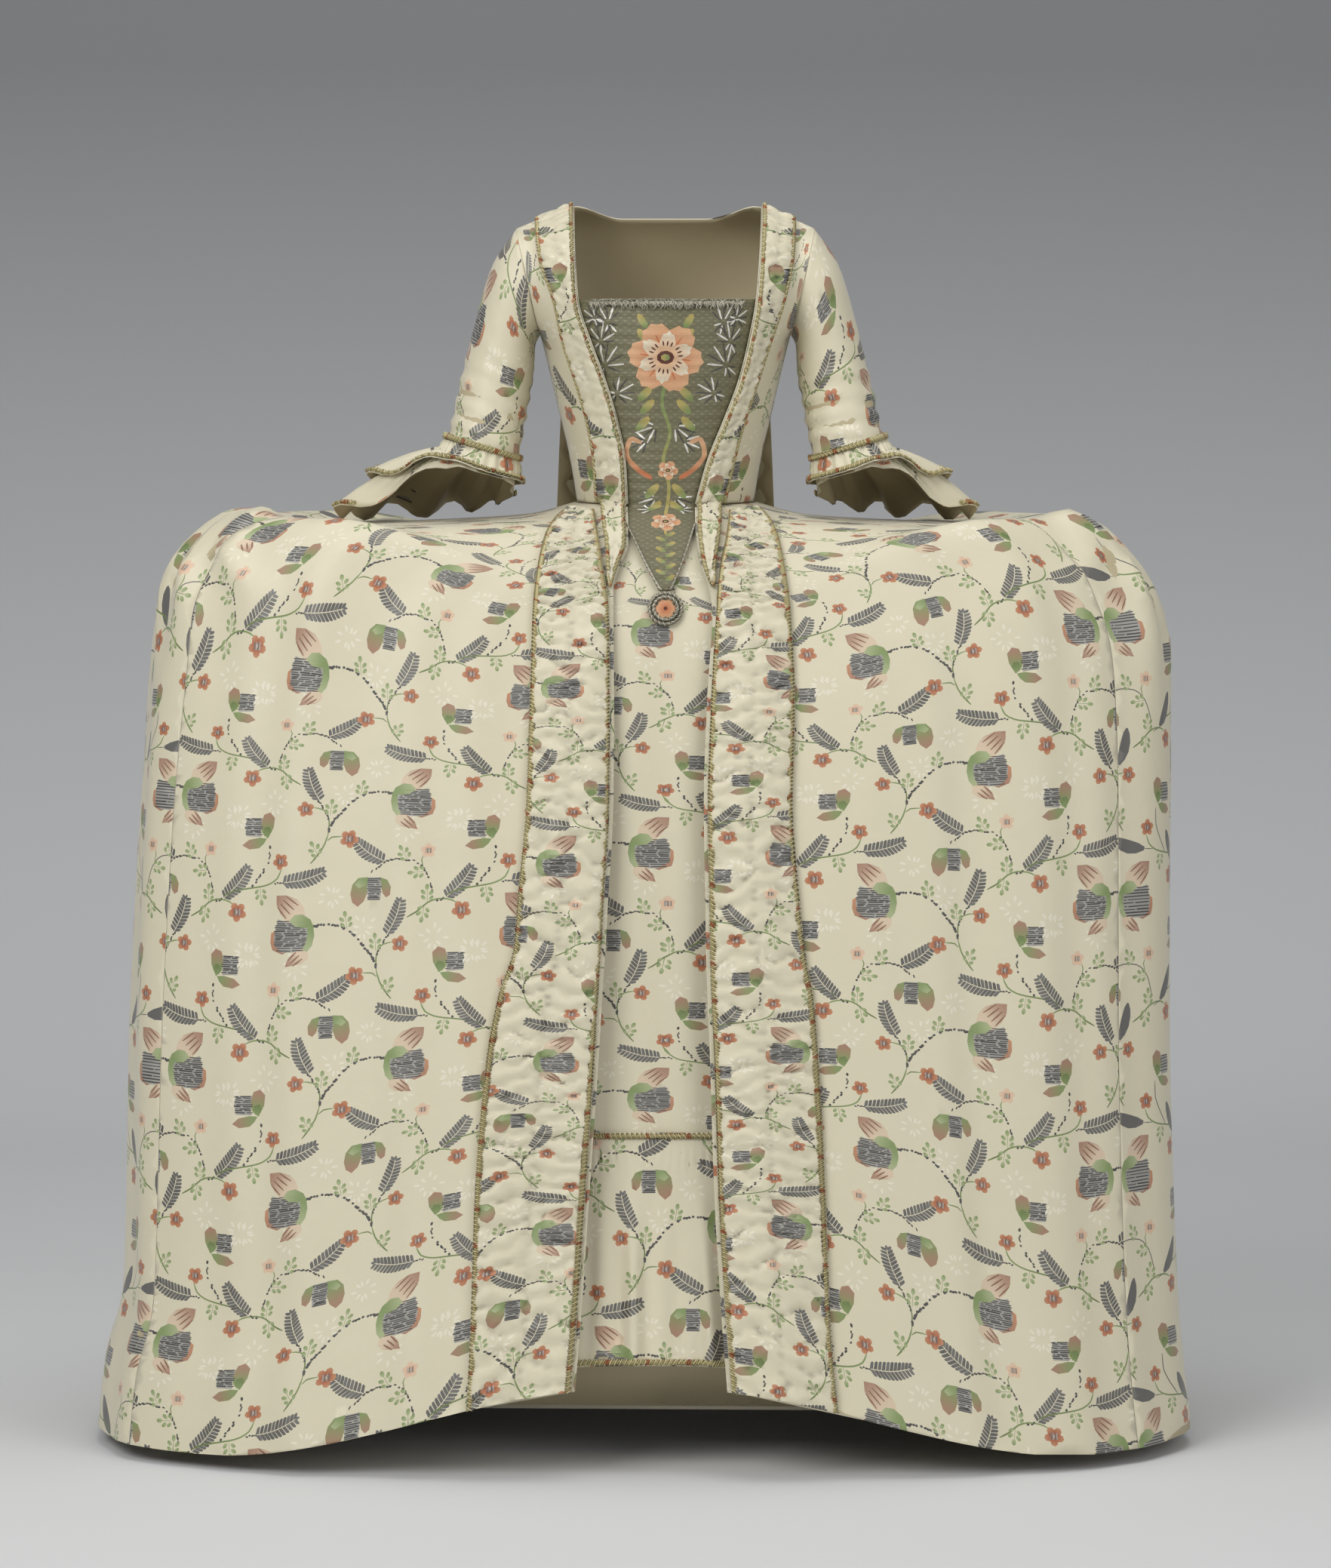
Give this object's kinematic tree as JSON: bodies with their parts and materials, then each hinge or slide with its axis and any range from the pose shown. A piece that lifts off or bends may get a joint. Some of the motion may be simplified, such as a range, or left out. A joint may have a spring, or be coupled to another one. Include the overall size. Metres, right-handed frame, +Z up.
{
  "type": "robe a la francaise gown",
  "caption": "Open court gown with sack back and wide side hoops' shape, ruched robings, elbow sleeves with flounces, matching petticoat and pointed stomacher, worn on the body.",
  "frame": {"origin": "between the shoulders, level with the highest point of the shoulder line, in the middle of the gown from side to side", "axes": "+Z up along the body, +X to the wearer's left, -Y the way that the wearer faces"},
  "size_m": [1.1684, 0.6958, 1.306],
  "materials": {
    "brocade": "cream silk woven with silver and coloured flowers",
    "braid": "olive and gold looped gimp braid",
    "stomacher_cloth": "silk ground worked all over in metal thread and coloured silks",
    "silver_lace": "tarnished silver lace"
  },
  "bodies": {
    "root": {"robe_front_left": "brocade", "robe_front_right": "brocade", "robe_side_left": "brocade", "robe_side_right": "brocade", "sack_back": "brocade", "petticoat_front": "brocade", "petticoat_back": "brocade", "petticoat_flounce": "brocade", "flounce_braid_top": "braid", "flounce_braid_low": "braid", "bodice_front_left": "brocade", "bodice_front_right": "brocade", "bodice_back": "brocade", "stomacher": "stomacher_cloth", "stomacher_lace": "silver_lace", "stomacher_braid_left": "silver_lace", "stomacher_braid_right": "silver_lace", "stomacher_tab": "stomacher_cloth", "stomacher_tab_lace": "silver_lace", "skirt_robing_left": "brocade", "skirt_robing_left_braid_inner": "braid", "skirt_robing_left_braid_outer": "braid", "skirt_robing_right": "brocade", "skirt_robing_right_braid_inner": "braid", "skirt_robing_right_braid_outer": "braid", "bodice_robing_left": "brocade", "bodice_robing_left_braid_inner": "braid", "bodice_robing_left_braid_outer": "braid", "bodice_robing_right": "brocade", "bodice_robing_right_braid_inner": "braid", "bodice_robing_right_braid_outer": "braid", "sleeve_left": "brocade", "sleeve_right": "brocade", "flounce_lower_left": "brocade", "flounce_lower_braid_left": "braid", "flounce_upper_left": "brocade", "flounce_upper_braid_left": "braid", "cuff_braid_left": "braid", "flounce_lower_right": "brocade", "flounce_lower_braid_right": "braid", "flounce_upper_right": "brocade", "flounce_upper_braid_right": "braid", "cuff_braid_right": "braid"}
  },
  "joints": []
}
